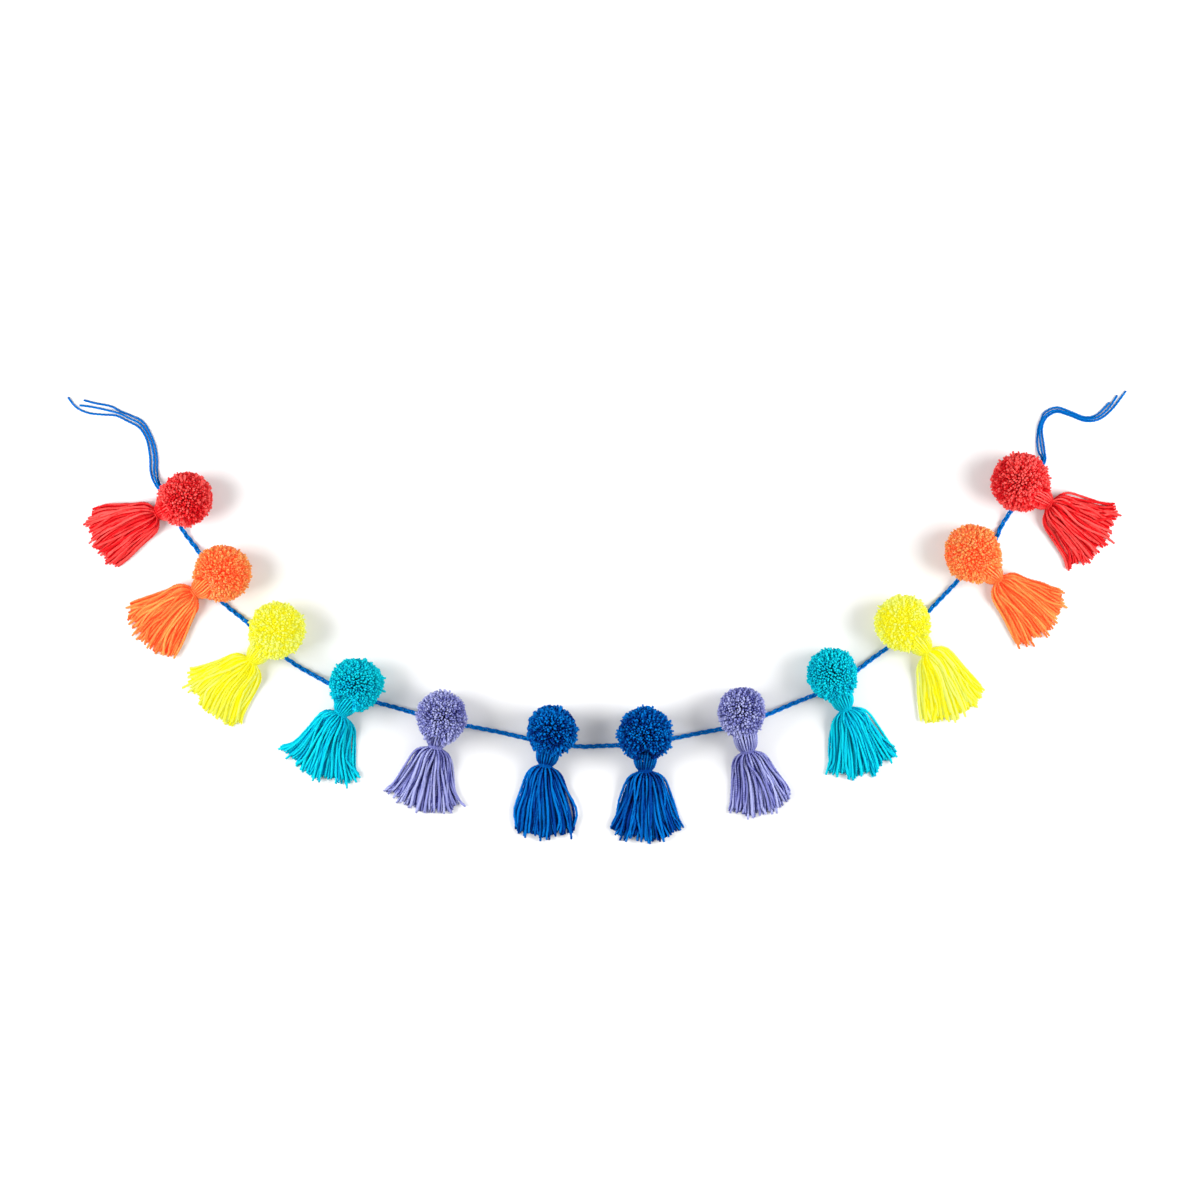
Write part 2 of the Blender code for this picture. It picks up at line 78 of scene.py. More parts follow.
# One row for each pompom with its tassel. head is from the neck to the hidden top of the tassel, and bare
# is how much of it shows beside the pompom. skirt is from the neck to the cut ends, which fan from one
# heading to the other, in degrees from X. curl is how far the strands on top of the skirt bow aside, and
# over is how much longer the pompom's ends are that lie over the head, in radii.
Unit = namedtuple(
    "Unit", "name colour pom_x pom_y pom_radius neck_x neck_y head bare skirt fan_from fan_to curl over"
)
UNITS = [
    Unit("red_left", "red", -374.4, 133.9, 24.6, -400.3, 121.4, 21.0, 8, 64, 174, 235, -6, 0.1),
    Unit("orange_left", "orange", -341.8, 67.2, 25.8, -366.4, 50.0, 21.0, 16, 65, 188, 254, -6, 0.08),
    Unit("yellow_left", "yellow", -292.5, 16.2, 25.5, -315.1, -10.9, 26.5, 14, 62, 184, 263, -6, 0.1),
    Unit("turquoise_left", "turquoise", -221.8, -33.0, 24.4, -235.3, -58.5, 25.0, 15, 63, 205, 290, -4, 0.04),
    Unit("lavender_left", "lavender", -144.3, -61.6, 23.3, -150.2, -88.6, 29.0, 7, 60, 216, 296, -2, 0.15),
    Unit("blue_left", "blue", -45.1, -74.2, 23.0, -51.2, -104.9, 26.0, 14, 65, 241, 296, 0, 0.06),
    Unit("blue_right", "blue", 38.3, -77.3, 25.0, 38.6, -109.7, 30.0, 15, 64, 235, 307, 0, 0.05),
    Unit("lavender_right", "lavender", 125.0, -56.6, 22.2, 130.7, -92.6, 31.0, 13, 58, 250, 320, 3, 0.18),
    Unit("turquoise_right", "turquoise", 206.4, -22.7, 23.3, 218.9, -54.5, 29.0, 12, 62, 251, 323, 3, 0.2),
    Unit("yellow_right", "yellow", 269.9, 22.8, 25.0, 291.6, -3.0, 31.0, 16, 66, 264, 330, 4, 0.1),
    Unit("orange_right", "orange", 332.4, 85.6, 25.6, 356.0, 61.7, 30.0, 14, 64, 283, 353, 2, 0.12),
    Unit("red_right", "red", 375.5, 149.2, 26.8, 401.5, 130.0, 29.0, 14, 63, 284, 364, 1, 0.08),
]

# Yarn: three plies, seen as every other of six corners
YARN_RADIUS = 1.28
PLIES = np.array([1.0, 0.84, 1.0, 0.84, 1.0, 0.84])
PLY_PITCH = 11.0  # length of one turn of the twist
PHASES = (0, 6)  # radians, of a wave that starts anywhere

# Tints, which place a strand on the ramp from painted shade to painted highlight: a strand's usual one, how
# far strands differ, and how much painted shade darkens them in a crevice
Tint = namedtuple("Tint", "usual spread crevice")
POMPOM_TINT = Tint(0.64, 0.10, 0.24)
SKIRT_TINT = Tint(0.70, 0.15, 0.75)
TIE_TINT = Tint(0.5, 0.08, 0.3)
PLAIT_TINT = Tint(1.3, 0.08, 0.6)
TAIL_TINT = Tint(0.75, 0.03, 0.3)
# The plain cores inside pompoms and skirts get the painted shade of a crevice
CORE_PAINTED_SHADE = 0.1
TIGHTEST = 1.6  # closeness of other strands in the deepest crevice

# How much of a strand's overlap, bend, bend at its end and distance from its first line is undone in a
# step of settling, and how far it sinks
PUSH, SMOOTHING, STRAIGHTENING, PULL, SINKING = 0.35, 0.12, 0.4, 0.05, 0.04

# A strand's cell in the bake map, in shares of the cell: its side, and the discs of its two ends
SIDE_START, SIDE_LENGTH = 0.02, 0.78
SIDE_EDGE, SIDE_WIDTH = 0.03, 0.94
DISC_RADIUS, ROOT_DISC, TIP_DISC = 0.07, (0.9, 0.25), (0.9, 0.7)
CORE_SPOT = (0.999, 0.999)  # where the unseen cores lie in the whole map

# Pompoms
END_SPACING = 2.5  # between cut ends on the ball
END_AREA = END_SPACING**2 * 0.9  # of the ball for each end
END_RADIUS = 1.08
END_RADIUS_SPREAD = 0.08
END_CORNERS = np.ones(5)  # a round section
POM_CENTRE = 0.94  # height of the centre, in radii
CORE = 0.6  # radius of the inner ball, in radii
# Stations along a cut end: distance from the ball's centre in radii, thickness, and a painted shade that
# darkens the end towards the inside of the ball
EndStation = namedtuple("EndStation", "share thickness tint")
END_STATIONS = [
    EndStation(0.56, 0.6, -0.6),
    EndStation(0.95, 1.0, -0.1),
    EndStation(1.0, 0.84, 0.0),
]
TIPS_INSIDE = 0.965  # reach of the ends' middles, in radii of the pompom's outline
LUMPS = 0.028  # height of the ball's lumps, in radii
LUMP_WAVES, LUMP_FINENESS = 7, 2.6
UNEVENNESS = 0.042  # of the ends' reach
END_JITTER, TUFT_JITTER = 0.5, 0.8  # radians, over the square root of their number
TUFT_SIZE = 3  # ends that lean together
TUFT_PULL = 0.2  # how far they do, of the way to the tuft's middle
HEAD_ROOM = 10.3  # from the middle of a tassel's head to the ends beside it
HEAD_END = 6  # where that room ends, past the neck
HEAD_SLACK = 0.6  # how far an end may reach into it from the side
BARE_MARGIN = 1  # how far it goes on into the pompom, past the bare part
PUSHED_MOST = (3, 14)  # an end that is pushed further aside than a draw between these is left out
# How far ends may rise over the head's middle, and how much more for each millimetre further off
DISH_ROOM, DISH_SLOPE = 13.0, 2.0
SHORTEST_END = 0.7  # of a trimmed end's full reach
# Painted light: ends that stand out are made lighter, and those lying lower darker, as if in shade
PAINTED_HEIGHT_LIGHT = 4.0  # how much lighter an end is that stands out

# Tassels
AXIS_HEIGHT = 11.0
WAIST = 1.2  # from the neck's place in the table to its middle
STRANDS = 80
NECK_RADIUS = 4.9
NECK_STATIONS = (-2.5, 1.2)  # places along the neck, between which strands run straight
NECK_EVENNESS = 0.8  # exponent that moves strands to the sides of the neck
NECK_SQUEEZE = 0.58  # thickness of a strand inside the neck, as a share of its own
SQUEEZED = 11.0  # length along which it comes back
FINE_STATIONS = 90  # along a strand, before it has rings at equal distances
SKIRT_RINGS = 29
CUT_END = 0.85  # thickness of a strand's last ring
HEAD_TOP = (1.4, 2.5)  # distance below the hidden top, radius
# Place along the head and its radius there
HEAD_STATIONS = [
    (-16.0, 9.6),
    (-12.0, 9.9),
    (-8.0, 9.5),
    (-5.0, 8.5),
    (-3.0, 7.3),
    (-1.2, 5.8),
    (1.5, 4.7),
]
HEAD_SLOPE = 0.75  # of the head's middle, which rises over the side of its pompom
SLOPE_START = 3  # from the neck
# Layers of folded yarns in the head: number, share of the radius, rings, thickness, and tone and shade: the
# outer layer painted lighter, and the inner one, which lies under it, painted shade
Layer = namedtuple("Layer", "loops share rings thickness tint")
HEAD_LAYERS = [
    Layer(24, 1.0, 18, 0.9, Tint(0.9, 0.08, 0.8)),
    Layer(17, 0.8, 12, 1.18, Tint(0.3, 0.08, 0.8)),
]
LOOP_FINE_STATIONS = 60
LOOP_JITTER = 0.18  # of the distance between two folded yarns
LOOP_SKEW = 0.02  # most radians that the folded yarns turn round the head in a millimetre
LOOP_SPREAD = 0.015  # of the head's radius
LOOP_PLACES, LOOP_TAPER = (0, 0.25, 0.85, 1), (0.6, 1, 1, 0.6)  # thickness along a folded yarn
# Sections of a skirt, from its neck: half width, height of the lower and the upper side, how much of the
# neck's round order the strands still have, how much the edges sink, and the share of the bend
Section = namedtuple("Section", "along half_width low high round sink bend")
SKIRT_SECTIONS = [
    Section(2.2, 11.8, 2.8, 18.6, 1.0, 0.0, 0.0),
    Section(5.5, 15.8, 0.4, 21.0, 0.9, 0.3, 0.15),
    Section(11.0, 17.8, 0.0, 21.2, 0.65, 0.6, 0.35),
    Section(18.0, 19.4, 0.0, 18.2, 0.35, 0.7, 0.6),
    Section(28.0, 23.0, 0.0, 14.0, 0.1, 0.6, 0.9),
    Section(42.0, 29.0, 0.0, 10.6, 0.0, 0.5, 1.0),
]
BULGE = 3  # how far the middle strands are ahead of those round them
END_HEIGHT = 8.0  # of the cut ends' upper side
END_SINK = 0.35  # how much lower it is at the fan's edges
FAN_EDGE = 2.2  # from the fan's edge to the last strand's middle, before the strands settle
USUAL_HALF_FAN = 35  # degrees, of the skirt that these widths belong to
FULLNESS = 0.4  # how far a skirt with a wider fan is also wider at these sections
# How far the strands' order in height and across changes from the neck to the hem
LEVEL_MIXING, PLACE_MIXING = 0.35, 0.12
LOCK_PULL = 0.35  # how far the cut ends gather in locks, of what closes the gaps
LOCK_WAVES = (13, 18)  # radians across half the skirt
MEAN_REACH, EDGE_SHORTER, REACH_SPREAD = 0.985, 0.05, 0.03  # of the skirt's length
HEM_WAVE = 0.02  # depth of the waves along the cut ends, of the skirt's length
HEM_WAVES = (7, 12)  # radians across half the skirt
SWAY = 2.8  # of a strand's waves, at its cut end
SWAY_UP = 0.4  # as a share of the sway aside
SWAY_WAVES = (4, 9)  # radians along a strand
LOWEST_SWAY, LOWEST_CURL = 0.15, 0.3  # of the strands on the table, as shares of the highest ones'
UNDER_SHARE = 0.42  # of the strands, which lie side by side on the table under the rest
STRAY = 4.0  # how far the outermost strands bow out
STRAY_FROM = 0.93  # where these start, as a share of half the skirt
SETTLING_STEPS = 60
# The plain tube inside a skirt: lines, half width, reach, and its middle and half height
CORE_LINES, CORE_WIDTH, CORE_REACH = 16, 0.9, 0.92
CORE_IN_NECK, CORE_IN_HEM = (-0.2, 0.35), (0.22, 0.22)

# Neck ties
TIE_TURNS = 2
TIE_STEPS = 20  # in a turn
TIE_YARN_RADIUS = 0.85
TIE_RADIUS = 5.9  # from the neck's axis to the middle of the yarn
TIE_PITCH = 1.5  # from one turn to the next

# Cords
PLAIT_YARN_RADIUS = 1.06
PLAIT_SWING = 1.3  # of a yarn from side to side
PLAIT_LIFT = 1.0  # over and under the other two
PLAIT_PITCH = 24.0  # length in which it is back at the same side
PLAIT_RINGS = 620
TAIL_DIAMETER = 2.3
TAIL_RINGS = 90
ROUTE_STEPS = 40  # between two points of a route
EYE = 11.0  # height of the cord inside a unit
LOW = 1.9  # height of the cord on the table
FLAT = 1.1  # height of a loose yarn on the table

# The first seed of the random draws for each kind of piece
POMPOM_SEED, TASSEL_SEED, TIE_SEED, PLAIT_SEED, TAIL_SEED = 0, 100, 200, 300, 310

CORD_ROUTE = [
    (-393.9, 136.2, 10.2),
    (-388.6, 126.5, EYE),
    (-378.6, 107.0, 4.5),
    (-370.6, 95.8, LOW),
    (-363.6, 86.4, 4.5),
    (-354.0, 67.5, EYE),
    (-348.4, 48.6, 6.0),
    (-337.4, 36.9, 2.4),
    (-321.5, 24.2, 3.4),
    (-303.5, 6.6, EYE),
    (-284.6, -9.2, 4.0),
    (-267.8, -20.2, 2.4),
    (-225.2, -42.0, EYE),
    (-186.4, -53.7, LOW),
    (-144.5, -65.3, EYE),
    (-93.4, -75.8, LOW),
    (-48.0, -85.8, EYE),
    (-20.0, -88.8, 3.4),
    (-3.4, -88.4, 2.6),
    (38.4, -85.9, EYE),
    (85.7, -77.1, LOW),
    (127.9, -67.8, EYE),
    (171.0, -50.5, LOW),
    (210.8, -33.0, EYE),
    (243.6, -9.4, LOW),
    (275.0, 14.6, EYE),
    (307.3, 46.9, LOW),
    (337.5, 79.5, EYE),
    (353.6, 96.8, 4.0),
    (360.4, 111.3, 2.3),
    (380.6, 142.6, EYE),
    (386.2, 151.4, 10.8),
]

TAIL_ROUTES = {
    "tail_left_1": [
        (-395.4, 136.2, 9.2),
        (-399.8, 142.9, 6.0),
        (-404.6, 150.6, 2.4),
        (-407.3, 160.0, FLAT),
        (-407.7, 172.0, FLAT),
        (-410.6, 187.3, FLAT),
        (-417.3, 198.4, FLAT),
        (-428.8, 204.8, FLAT),
        (-438.6, 209.4, FLAT),
        (-451.4, 210.3, FLAT),
        (-463.8, 211.9, FLAT),
        (-474.3, 217.0, FLAT),
        (-481.7, 226.0, FLAT),
    ],
    "tail_left_2": [
        (-394.4, 137.1, 11.4),
        (-398.5, 143.7, 8.3),
        (-402.4, 151.6, 4.6),
        (-404.1, 161.0, 1.8),
        (-404.2, 172.0, FLAT),
        (-407.4, 186.7, FLAT),
        (-415.2, 200.6, 1.6),
        (-426.8, 207.2, 3.0),
        (-436.4, 211.6, 3.3),
        (-447.6, 214.5, 1.6),
        (-459.6, 217.1, FLAT),
        (-471.4, 218.7, FLAT),
    ],
    "tail_left_3": [
        (-393.2, 137.6, 9.2),
        (-397.2, 144.5, 6.0),
        (-400.4, 152.0, 2.4),
        (-401.4, 161.0, FLAT),
        (-401.5, 172.0, FLAT),
        (-404.4, 185.8, FLAT),
        (-413.2, 202.8, FLAT),
        (-424.8, 209.4, FLAT),
        (-434.2, 213.2, FLAT),
        (-443.1, 217.8, FLAT),
        (-456.8, 220.5, FLAT),
        (-467.6, 223.3, FLAT),
    ],
    "tail_right_1": [
        (385.4, 152.7, 10.0),
        (395.6, 168.7, 5.5),
        (392.9, 177.0, 1.9),
        (391.7, 186.1, FLAT),
        (392.2, 193.0, FLAT),
        (393.2, 199.6, FLAT),
        (395.6, 205.9, FLAT),
        (398.9, 212.5, FLAT),
        (409.4, 216.8, FLAT),
        (421.9, 212.8, FLAT),
        (435.2, 207.9, FLAT),
        (446.0, 210.4, FLAT),
        (457.1, 221.3, FLAT),
    ],
    "tail_right_2": [
        (386.7, 152.2, 12.3),
        (397.0, 168.0, 7.8),
        (395.8, 177.4, 3.9),
        (394.6, 186.1, 2.4),
        (393.9, 193.2, 3.1),
        (394.7, 199.4, 3.4),
        (396.8, 205.4, 3.4),
        (400.6, 210.9, 3.4),
        (409.6, 214.4, 3.4),
        (421.3, 210.9, 3.4),
        (435.1, 206.2, 3.2),
        (447.1, 208.4, 3.2),
        (457.1, 217.2, 2.2),
        (464.0, 227.8, FLAT),
    ],
    "tail_right_3": [
        (387.7, 151.3, 10.0),
        (398.4, 167.0, 5.5),
        (398.5, 176.9, 1.9),
        (397.4, 186.1, FLAT),
        (396.3, 193.0, FLAT),
        (396.4, 198.9, FLAT),
        (398.2, 204.6, FLAT),
        (402.2, 209.5, FLAT),
        (410.0, 212.7, FLAT),
        (420.8, 209.7, FLAT),
        (435.6, 204.4, FLAT),
        (448.4, 206.4, FLAT),
        (460.0, 215.9, FLAT),
        (471.9, 231.6, FLAT),
    ],
}


# Camera, light and table


def place_camera():
    """Straight above the middle of the photo, which is 1.08 m wide a little above the table."""
    camera = bpy.data.objects.new("camera", bpy.data.cameras.new("camera"))
    bpy.context.scene.collection.objects.link(camera)
    bpy.context.scene.camera = camera
    height, seen_height, seen_width = 8.0, 0.012, 1.08
    camera.data.lens = camera.data.sensor_width * (height - seen_height) / seen_width
    camera.location = in_plan(*PHOTO_MIDDLE) * MM + (0, 0, height)
    camera.data.clip_end = 20


def add_lamp(lamp):
    """A soft lamp that shines on the garland's origin."""
    light = bpy.data.objects.new(lamp.name, bpy.data.lights.new(lamp.name, "AREA"))
    light.data.energy = lamp.watts
    light.data.size = lamp.size
    light.location = lamp.place
    towards = -light.location
    light.rotation_euler = towards.to_track_quat("-Z", "Y").to_euler()
    light.visible_camera = False
    bpy.context.scene.collection.objects.link(light)


def light_scene():
    """A low soft lamp at either end of the garland, one straight above it, and a bright room."""
    for lamp in LAMPS:
        add_lamp(lamp)
    world = bpy.data.worlds.new("studio")
    world.use_nodes = True
    background = world.node_tree.nodes["Background"]
    background.inputs["Color"].default_value = (1, 1, 1, 1)
    background.inputs["Strength"].default_value = ROOM_LIGHT
    bpy.context.scene.world = world
    bpy.context.scene.view_settings.view_transform = "Standard"


def lay_table():
    """A plain pale table, which isn't part of the garland."""
    mesh = bpy.data.meshes.new("table")
    half = 8.0
    mesh.from_pydata(
        [(-half, -half, 0), (half, -half, 0), (half, half, 0), (-half, half, 0)], [], [(0, 1, 2, 3)]
    )
    table = bpy.data.objects.new("table", mesh)
    bpy.context.scene.collection.objects.link(table)
    material = bpy.data.materials.new("white_table")
    material.use_nodes = True
    shader = material.node_tree.nodes["Principled BSDF"]
    shader.inputs["Base Color"].default_value = (0.8, 0.8, 0.8, 1)
    shader.inputs["Roughness"].default_value = 0.8
    mesh.materials.append(material)


# Yarn material


def yarn_material(name, yarn):
    """Matte yarn with a soft sheen of loose fibres, mottled, with painted shade and highlight by its place in
    the bundle, and a painted glow.
    """
    material = bpy.data.materials.new(name)
    material.use_nodes = True
    nodes, links = material.node_tree.nodes, material.node_tree.links
    shader = nodes["Principled BSDF"]
    shader.inputs["Roughness"].default_value = 0.85
    shader.inputs["Specular IOR Level"].default_value = 0.02
    shader.inputs["Sheen Weight"].default_value = 0.06
    shader.inputs["Sheen Roughness"].default_value = 0.45
    shader.inputs["Sheen Tint"].default_value = (*yarn.lit, 1)
    shader.inputs["Subsurface Weight"].default_value = yarn.through
    shader.inputs["Subsurface Radius"].default_value = (1, 1, 1)
    shader.inputs["Subsurface Scale"].default_value = 0.0015
    # A painted glow: the yarn gives off light in its ramp colour, which lightens its shade
    shader.inputs["Emission Strength"].default_value = yarn.glow

    place = nodes.new("ShaderNodeTexCoord")
    mottle = nodes.new("ShaderNodeTexNoise")
    mottle.inputs["Scale"].default_value = MOTTLE_SCALE
    mottle.inputs["Detail"].default_value = 2
    links.new(place.outputs["Object"], mottle.inputs["Vector"])

    # Each strand's own tone with its painted shade and light, plus the mottle, picks a place on the ramp
    tint = nodes.new("ShaderNodeAttribute")
    tint.attribute_name = "tint"
    painted_lightness = nodes.new("ShaderNodeMath")
    painted_lightness.operation = "MULTIPLY_ADD"
    painted_lightness.inputs[1].default_value = MOTTLE_DEPTH
    links.new(mottle.outputs["Fac"], painted_lightness.inputs[0])
    links.new(tint.outputs["Fac"], painted_lightness.inputs[2])

    # The ramp runs from the painted shade through the yarn's own colour to the painted highlight
    colours = nodes.new("ShaderNodeValToRGB")
    ramp = colours.color_ramp.elements
    ramp[0].position, ramp[0].color = 0.1, (*yarn.deep, 1)
    ramp[1].position, ramp[1].color = 1.0, (*yarn.lit, 1)
    ramp.new(0.6).color = (*yarn.body, 1)
    links.new(painted_lightness.outputs["Value"], colours.inputs["Fac"])
    links.new(colours.outputs["Color"], shader.inputs["Base Color"])
    links.new(colours.outputs["Color"], shader.inputs["Emission Color"])

    fibres = nodes.new("ShaderNodeTexNoise")
    fibres.inputs["Scale"].default_value = FIBRE_SCALE
    fibres.inputs["Detail"].default_value = 2
    links.new(place.outputs["Object"], fibres.inputs["Vector"])
    bump = nodes.new("ShaderNodeBump")
    bump.inputs["Strength"].default_value = 0.4
    bump.inputs["Distance"].default_value = FIBRE_HEIGHT
    links.new(fibres.outputs["Fac"], bump.inputs["Height"])
    links.new(bump.outputs["Normal"], shader.inputs["Normal"])
    return material


# Strand geometry: arrays of places are (strand, station, 3), in millimetres


def unit_vectors(vectors):
    return vectors / np.linalg.norm(vectors, axis=-1, keepdims=True)


def spline(stations, count):
    """Places along the Catmull-Rom curves through the stations."""
    legs = stations.shape[1] - 1
    before = 2 * stations[:, :1] - stations[:, 1:2]
    after = 2 * stations[:, -1:] - stations[:, -2:-1]
    knots = np.concatenate([before, stations, after], axis=1)
    spots = np.linspace(0, legs, count)
    leg = np.minimum(spots.astype(int), legs - 1)
    t = (spots - leg)[None, :, None]
    a, b, c, d = (knots[:, leg + i] for i in range(4))
    bends = (c - a) * t + (2 * a - 5 * b + 4 * c - d) * t**2 + (3 * b - a - 3 * c + d) * t**3
    return b + bends / 2


def lengths_along(paths):
    steps = np.linalg.norm(np.diff(paths, axis=1), axis=-1)
    return np.concatenate([np.zeros((len(paths), 1)), np.cumsum(steps, axis=1)], axis=1)


def evenly(paths, count):
    """The same lines with their places at equal distances."""
    even = np.empty((len(paths), count, 3))
    for path, reached, row in zip(paths, lengths_along(paths), even):
        spots = np.linspace(0, reached[-1], count)
        for axis in range(3):
            row[:, axis] = np.interp(spots, reached, path[:, axis])
    return even


def tubes(paths, radii, corners, twist):
    """Rings (strand, station, corner, 3) round paths, with a radius and a twist for each station."""
    ahead = unit_vectors(np.gradient(paths, axis=1))
    along_no_strand = (0.31, 0.23, 0.92)
    across = unit_vectors(np.cross(ahead[:, 0], along_no_strand))
    sides = [across]
    for station in range(1, paths.shape[1]):
        way = ahead[:, station]
        across = unit_vectors(across - way * np.sum(across * way, axis=-1, keepdims=True))
        sides.append(across)
    normals = np.stack(sides, axis=1)[:, :, None]
    others = np.cross(ahead[:, :, None], normals)
    angles = np.linspace(0, 2 * np.pi, len(corners), endpoint=False) + twist[:, :, None]
    outward = normals * np.cos(angles)[..., None] + others * np.sin(angles)[..., None]
    return paths[:, :, None] + outward * (radii[:, :, None] * corners)[..., None]


def closeness(rings, paths, radii):
    """How tightly other strands lie round each corner, from 0 in the open to 1 and more in a crevice."""
    strands, stations, corners = rings.shape[:3]
    middle = paths.mean(axis=(0, 1))
    own = np.arange(strands)
    found = np.empty((strands, stations, corners))
    for station in range(stations):
        places = (rings[:, station] - middle).reshape(-1, 3)
        others = paths[:, station] - middle
        squares = (places**2).sum(-1)[:, None] + (others**2).sum(-1) - 2 * places @ others.T
        far = np.sqrt(np.maximum(squares, 0)).reshape(strands, corners, strands)
        near = np.clip(2 - far / radii[:, station], 0, 1)
        near[own, :, own] = 0
        found[:, station] = near.sum(axis=-1)
    return np.minimum(found, TIGHTEST)


def settled(paths, radii, steps):
    """The strands pushed apart where they lie inside each other, laid on the table and drawn smooth."""
    wanted = paths
    paths = paths.copy()
    room = radii.T[:, :, None] + radii.T[:, None]
    for _ in range(steps):
        stations = paths.transpose(1, 0, 2)
        away = stations[:, :, None] - stations[:, None]
        far = np.sqrt((away**2).sum(axis=-1)) + 1e-6
        push = np.clip(room - far, 0, None) / far * PUSH
        push[:, np.arange(len(paths)), np.arange(len(paths))] = 0
        moved = (away * push[..., None]).sum(axis=2).transpose(1, 0, 2)
        moved[:, 1:-1] += SMOOTHING * (paths[:, :-2] + paths[:, 2:] - 2 * paths[:, 1:-1])
        moved[:, -1] += STRAIGHTENING * (2 * paths[:, -2] - paths[:, -3] - paths[:, -1])
        moved += PULL * (wanted - paths)
        moved[..., 2] -= SINKING
        paths[:, 2:] += moved[:, 2:]
        paths[..., 2] = np.maximum(paths[..., 2], radii)
    return paths


def bake_cells(count):
    """Lowest corners and size of as many equal cells in the square from 0 to 1."""
    columns = math.ceil(math.sqrt(count))
    number = np.arange(count)
    return np.stack([number % columns, number // columns], axis=-1) / columns, 1 / columns


def unwrapped(low, size, stations, corners):
    """A map with a cell for each strand: its side as a rectangle and its two ends as small discs."""
    along = np.arange(stations) / (stations - 1) * SIDE_LENGTH + SIDE_START
    around = np.arange(corners + 1) / corners * SIDE_WIDTH + SIDE_EDGE
    grid = np.stack(np.broadcast_arrays(along[:, None], around[None, :]), axis=-1)
    side = np.stack([grid[:-1, :-1], grid[:-1, 1:], grid[1:, 1:], grid[1:, :-1]], axis=2)
    turn = np.arange(corners) / corners * 2 * np.pi
    disc = np.stack([np.cos(turn), np.sin(turn)], axis=-1) * DISC_RADIUS
    sides = low[:, None, None, None] + side[None] * size
    roots = low[:, None] + (disc[::-1] + ROOT_DISC) * size
    tips = low[:, None] + (disc + TIP_DISC) * size
    return np.concatenate([sides.reshape(-1, 2), roots.reshape(-1, 2), tips.reshape(-1, 2)])


def strand_faces(strands, stations, corners):
    """The sides, the root and the tip of closed strands, in the order in which they are unwrapped."""
    index = np.arange(strands * stations * corners).reshape(strands, stations, corners)
    here, there = index[:, :-1], index[:, 1:]
    quads = np.stack([here, np.roll(here, -1, 2), np.roll(there, -1, 2), there], axis=-1)
    return quads.reshape(-1, 4).tolist() + index[:, 0, ::-1].tolist() + index[:, -1].tolist()


def shifted(faces, start):
    """The same faces of corners that are counted from another start."""
    return [[corner + start for corner in face] for face in faces]


def yarn_object(name, parts, material, core=None):
    """One piece of closed strands, from parts of rings and their tints. A core is places and faces, given the
    painted shade of a crevice.
    """
    cells, size = bake_cells(sum(len(rings) for rings, _ in parts))
    places, faces, shades, spots = [], [], [], []
    used, corners_so_far = 0, 0
    for rings, tints in parts:
        strands, stations, corners = rings.shape[:3]
        faces += shifted(strand_faces(strands, stations, corners), corners_so_far)
        spots.append(unwrapped(cells[used : used + strands], size, stations, corners))
        places.append(rings.reshape(-1, 3))
        shades.append(tints.reshape(-1))
        used += strands
        corners_so_far += len(places[-1])
    if core:
        core_places, core_faces = core
        faces += shifted(core_faces, corners_so_far)
        places.append(core_places)
        shades.append(np.full(len(core_places), CORE_PAINTED_SHADE))
        spots.append(np.tile([CORE_SPOT], (sum(map(len, core_faces)), 1)))
    mesh = bpy.data.meshes.new(name)
    mesh.from_pydata((np.concatenate(places) * MM).tolist(), [], faces)
    bake_map = mesh.uv_layers.new(name="OFBake")
    bake_map.data.foreach_set("uv", np.concatenate(spots).astype(np.float32).ravel())
    tint = mesh.color_attributes.new("tint", "FLOAT_COLOR", "POINT")
    rows = np.repeat(np.concatenate(shades)[:, None], 4, axis=1)
    rows[:, 3] = 1
    tint.data.foreach_set("color", rows.astype(np.float32).ravel())
    mesh.shade_smooth()
    mesh.materials.append(material)
    piece = bpy.data.objects.new(name, mesh)
    bpy.context.scene.collection.objects.link(piece)
    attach(piece, "root")
    return piece


def stand_for(node):
    """The piece is shown instead of the plain solid of the same thing."""
    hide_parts(node)


def yarn_part(paths, radii, dice, tint, corners=PLIES):
    """Rings of plied yarn along the paths, with tints of each strand's own tone and a painted shade that
    darkens them where other strands are close.
    """
    reached = lengths_along(paths)
    twist = reached * (2 * np.pi / PLY_PITCH) + dice.uniform(0, 2 * np.pi, (len(paths), 1))
    rings = tubes(paths, radii, corners, twist)
    rings[..., 2] = np.maximum(rings[..., 2], 0)
    strand = dice.normal(tint.usual, tint.spread, (len(paths), 1, 1))
    return rings, strand - tint.crevice * closeness(rings, paths, radii)


# Units


def in_plan(x, y):
    return np.array([x - OUTLINE_CENTRE[0], y - OUTLINE_CENTRE[1], 0.0])


def heading_of(unit):
    """The direction from a pompom to its tassel's neck, in radians from X."""
    return math.atan2(unit.neck_y - unit.pom_y, unit.neck_x - unit.pom_x)


def turned(vectors, angle):
    """Vectors turned about Z. The angle may be one for each vector."""
    cos, sin = np.cos(angle), np.sin(angle)
    x, y, z = vectors[..., 0], vectors[..., 1], vectors[..., 2]
    return np.stack([x * cos - y * sin, x * sin + y * cos, z], axis=-1)


def from_neck(unit, places):
    """Places along, across and above the tassel, as seen from its neck, in the garland's frame."""
    return turned(places + (WAIST, 0, 0), heading_of(unit)) + in_plan(unit.neck_x, unit.neck_y)


def seen_from_neck(unit, places):
    return turned(places - in_plan(unit.neck_x, unit.neck_y), -heading_of(unit)) - (WAIST, 0, 0)


def ball_directions(count):
    """Directions spread evenly, along a spiral from top to bottom."""
    number = np.arange(count)
    z = 1 - (2 * number + 1) / count
    turn = number * math.pi * (3 - math.sqrt(5))
    ring = np.sqrt(1 - z * z)
    return np.stack([ring * np.cos(turn), ring * np.sin(turn), z], axis=-1)


